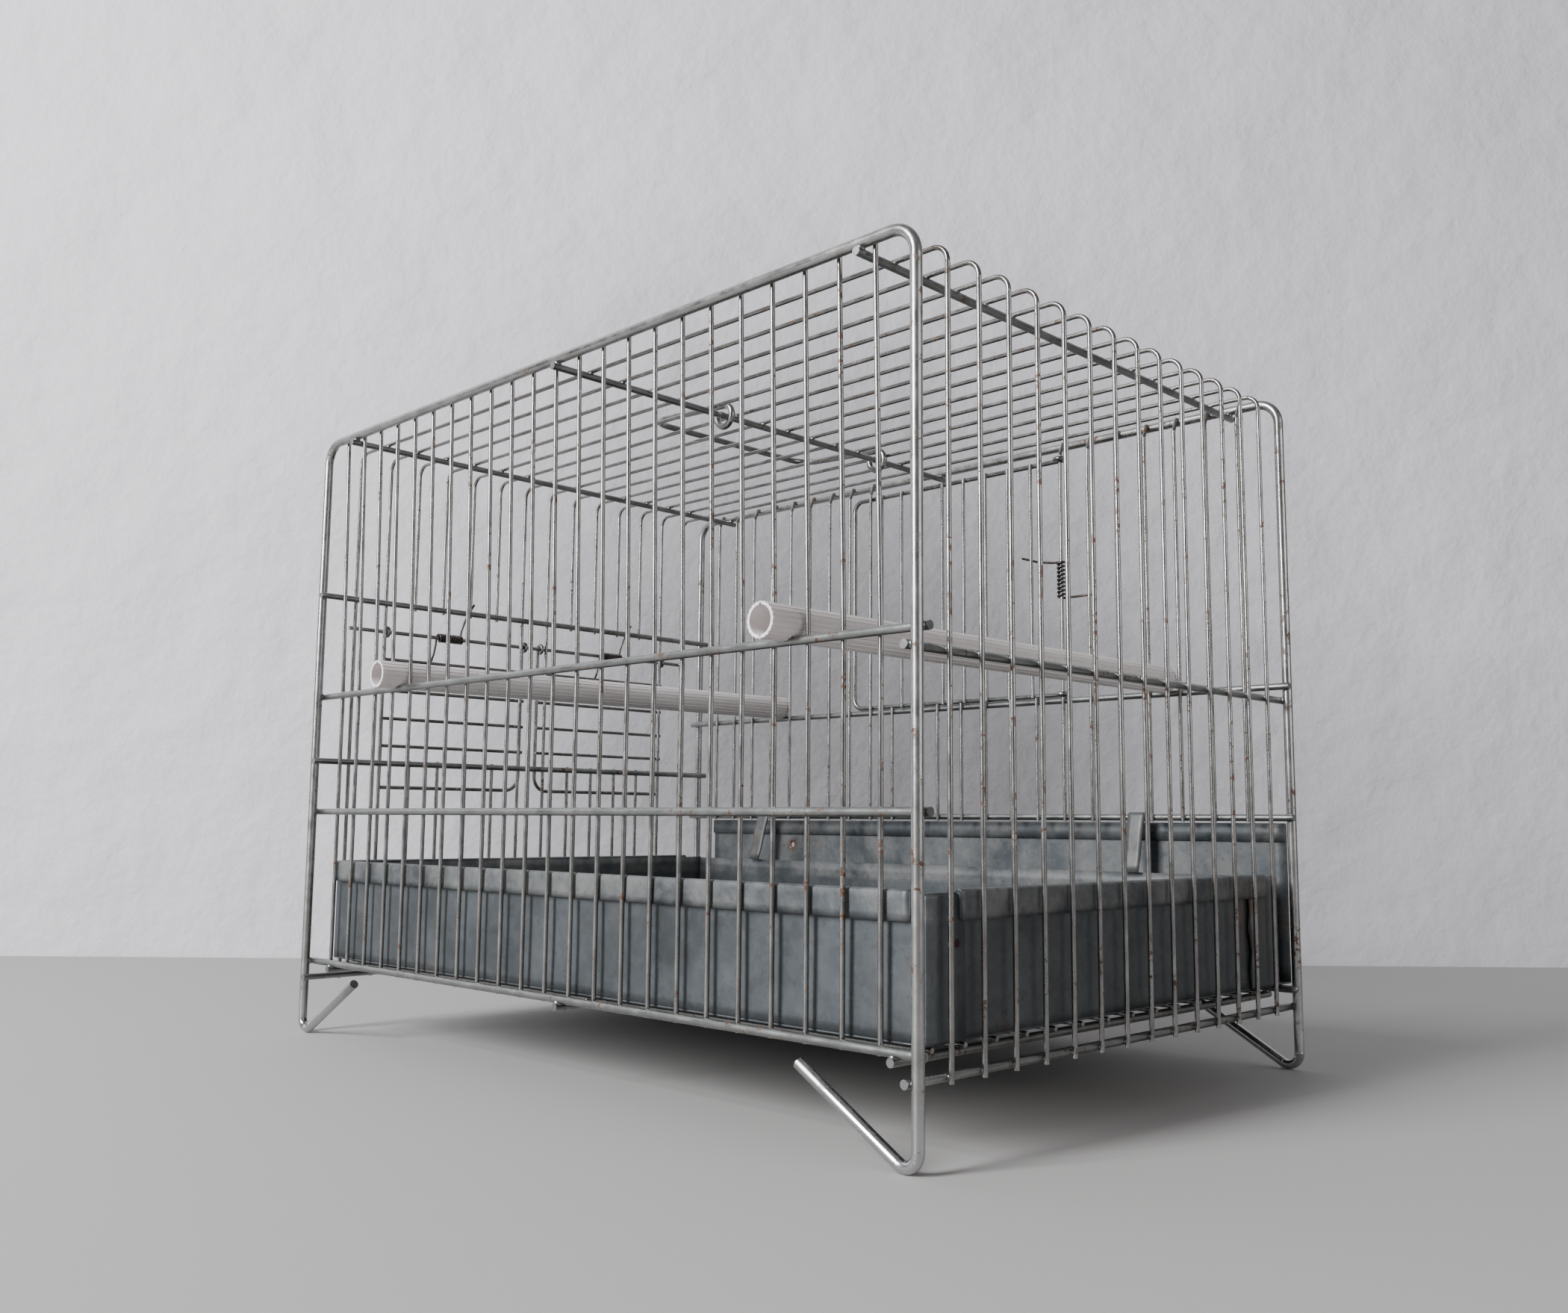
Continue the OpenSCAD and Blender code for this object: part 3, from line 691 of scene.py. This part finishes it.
def wall_plaster(name, light, dark):
    """Rough plaster with painted shade, a soft shadow darkening its colour behind the cage, and hidden from behind
    and edge-on.
    """
    g = plaster(name, light, dark)
    nodes, links = g.tree.nodes, g.tree.links
    geometry = nodes.new("ShaderNodeNewGeometry")
    g.coord = geometry.outputs["Position"]
    # painted shade: the wall's colour is darkened round SHADE_AT to stand for the cage's soft shadow
    shade = g.near(SHADE_AT, *SHADE_REACH)
    shade.node.interpolation_type = "SMOOTHSTEP"
    tone = g.bsdf.inputs["Base Color"].links[0].from_socket
    g.set(Base_Color=g.mix(g.math("MULTIPLY", shade, SHADE_DEPTH), tone, (0, 0, 0)),
          Normal=g.bump(g.noise(10, 6, 0.56), 0.85, 0.012))
    dot = nodes.new("ShaderNodeVectorMath")
    dot.operation = "DOT_PRODUCT"
    links.new(geometry.outputs["Incoming"], dot.inputs[0])
    links.new(geometry.outputs["Normal"], dot.inputs[1])
    camera_ray = nodes.new("ShaderNodeLightPath").outputs["Is Camera Ray"]
    slanted = g.level(g.math("ABSOLUTE", dot.outputs["Value"]), 0.62, 0.74, 1, 0)
    edge_on = g.math("MULTIPLY", slanted, camera_ray)
    look_through(g, g.math("MAXIMUM", geometry.outputs["Backfacing"], edge_on))
    return g


def plane(name, place, turn, size, material):
    """Flat rectangle of the stage."""
    bm = bmesh.new()
    bmesh.ops.create_grid(bm, x_segments=1, y_segments=1, size=0.5)
    mesh = bpy.data.meshes.new(name)
    bm.to_mesh(mesh)
    bm.free()
    obj = bpy.data.objects.new(name, mesh)
    obj.matrix_world = Matrix.Translation(place) @ turn @ Matrix.Diagonal((*size, 1, 1))
    obj.data.materials.append(material)
    bpy.context.collection.objects.link(obj)


def stage():
    """Pale floor, and a pale wall behind the cage as the camera sees it."""
    plane("floor", (0, 0, 0), Matrix.Identity(4), (30, 30),
          floor_plaster("floor_paint", (0.335, 0.325, 0.315), (0.315, 0.305, 0.295)).mat)
    foot = EYE + AHEAD * WALL_AWAY
    facing = Matrix((SIDEWAYS, Vector((0, 0, 1)), -AHEAD)).transposed().to_4x4()
    plane("wall", (foot.x, foot.y, 2.5), facing, (14, 5),
          wall_plaster("wall_paint", (0.565, 0.56, 0.588), (0.475, 0.468, 0.486)).mat)


def area_light(name, place, target, size, power, colour):
    """Rectangular lamp at a place, turned to a target."""
    data = bpy.data.lights.new(name, "AREA")
    data.shape = "RECTANGLE"
    data.size, data.size_y = size
    data.energy = power
    data.color = colour
    lamp = bpy.data.objects.new(name, data)
    lamp.location = place
    lamp.rotation_mode = "QUATERNION"
    lamp.rotation_quaternion = (Vector(target) - Vector(place)).to_track_quat("-Z", "Y")
    bpy.context.collection.objects.link(lamp)


def sky():
    """Soft surround, brightest towards the window; the camera sees it as one pale tone past the stage."""
    world = bpy.data.worlds.new("surround")
    world.use_nodes = True
    tree = world.node_tree
    nodes, links = tree.nodes, tree.links
    back = nodes["Background"]
    dot = nodes.new("ShaderNodeVectorMath")
    dot.operation = "DOT_PRODUCT"
    links.new(nodes.new("ShaderNodeTexCoord").outputs["Generated"], dot.inputs[0])
    dot.inputs[1].default_value = TO_WINDOW
    ramp = nodes.new("ShaderNodeMapRange")
    links.new(dot.outputs["Value"], ramp.inputs["Value"])
    for name, value in (("From Min", -0.6), ("From Max", 1.0), ("To Min", 0.125), ("To Max", 0.34)):
        ramp.inputs[name].default_value = value
    mix = nodes.new("ShaderNodeMix")
    mix.data_type = "FLOAT"
    links.new(nodes.new("ShaderNodeLightPath").outputs["Is Camera Ray"], mix.inputs["Factor"])
    links.new(ramp.outputs["Result"], mix.inputs["A"])
    mix.inputs["B"].default_value = SEEN_SKY
    links.new(mix.outputs["Result"], back.inputs["Strength"])
    back.inputs["Color"].default_value = (0.95, 0.96, 1.0, 1)
    bpy.context.scene.world = world


def studio():
    """A tall window on the camera's left, and the weak light that the room throws back from its right."""
    sky()
    area_light("window", (0.3, 1.87, 1.05), (0, 0, 0.12), (0.6, 1.3), 116, (0.97, 0.98, 1))
    area_light("bounce", (-1.3, -0.1, 0.45), (-0.15, 0, 0.05), (0.9, 0.7), 5, (1, 0.985, 0.97))


def camera():
    """Camera beside the left rear corner, level with the lower rail and tipped up a little."""
    pitch, roll = math.radians(6.66), math.radians(0.43)
    ahead = AHEAD * math.cos(pitch) + Vector((0, 0, math.sin(pitch)))
    level = ahead.cross(Vector((0, 0, 1))).normalized()
    right = level * math.cos(roll) + level.cross(ahead) * math.sin(roll)
    data = bpy.data.cameras.new("camera")
    data.lens = 31.55
    data.shift_x, data.shift_y = -0.0107, 0.0032
    data.clip_start = 0.01
    cam = bpy.data.objects.new("camera", data)
    turn = Matrix((right, right.cross(ahead), -ahead)).transposed().to_4x4()
    cam.matrix_world = Matrix.Translation(EYE) @ turn
    bpy.context.collection.objects.link(cam)
    bpy.context.scene.camera = cam


stage()
studio()
camera()
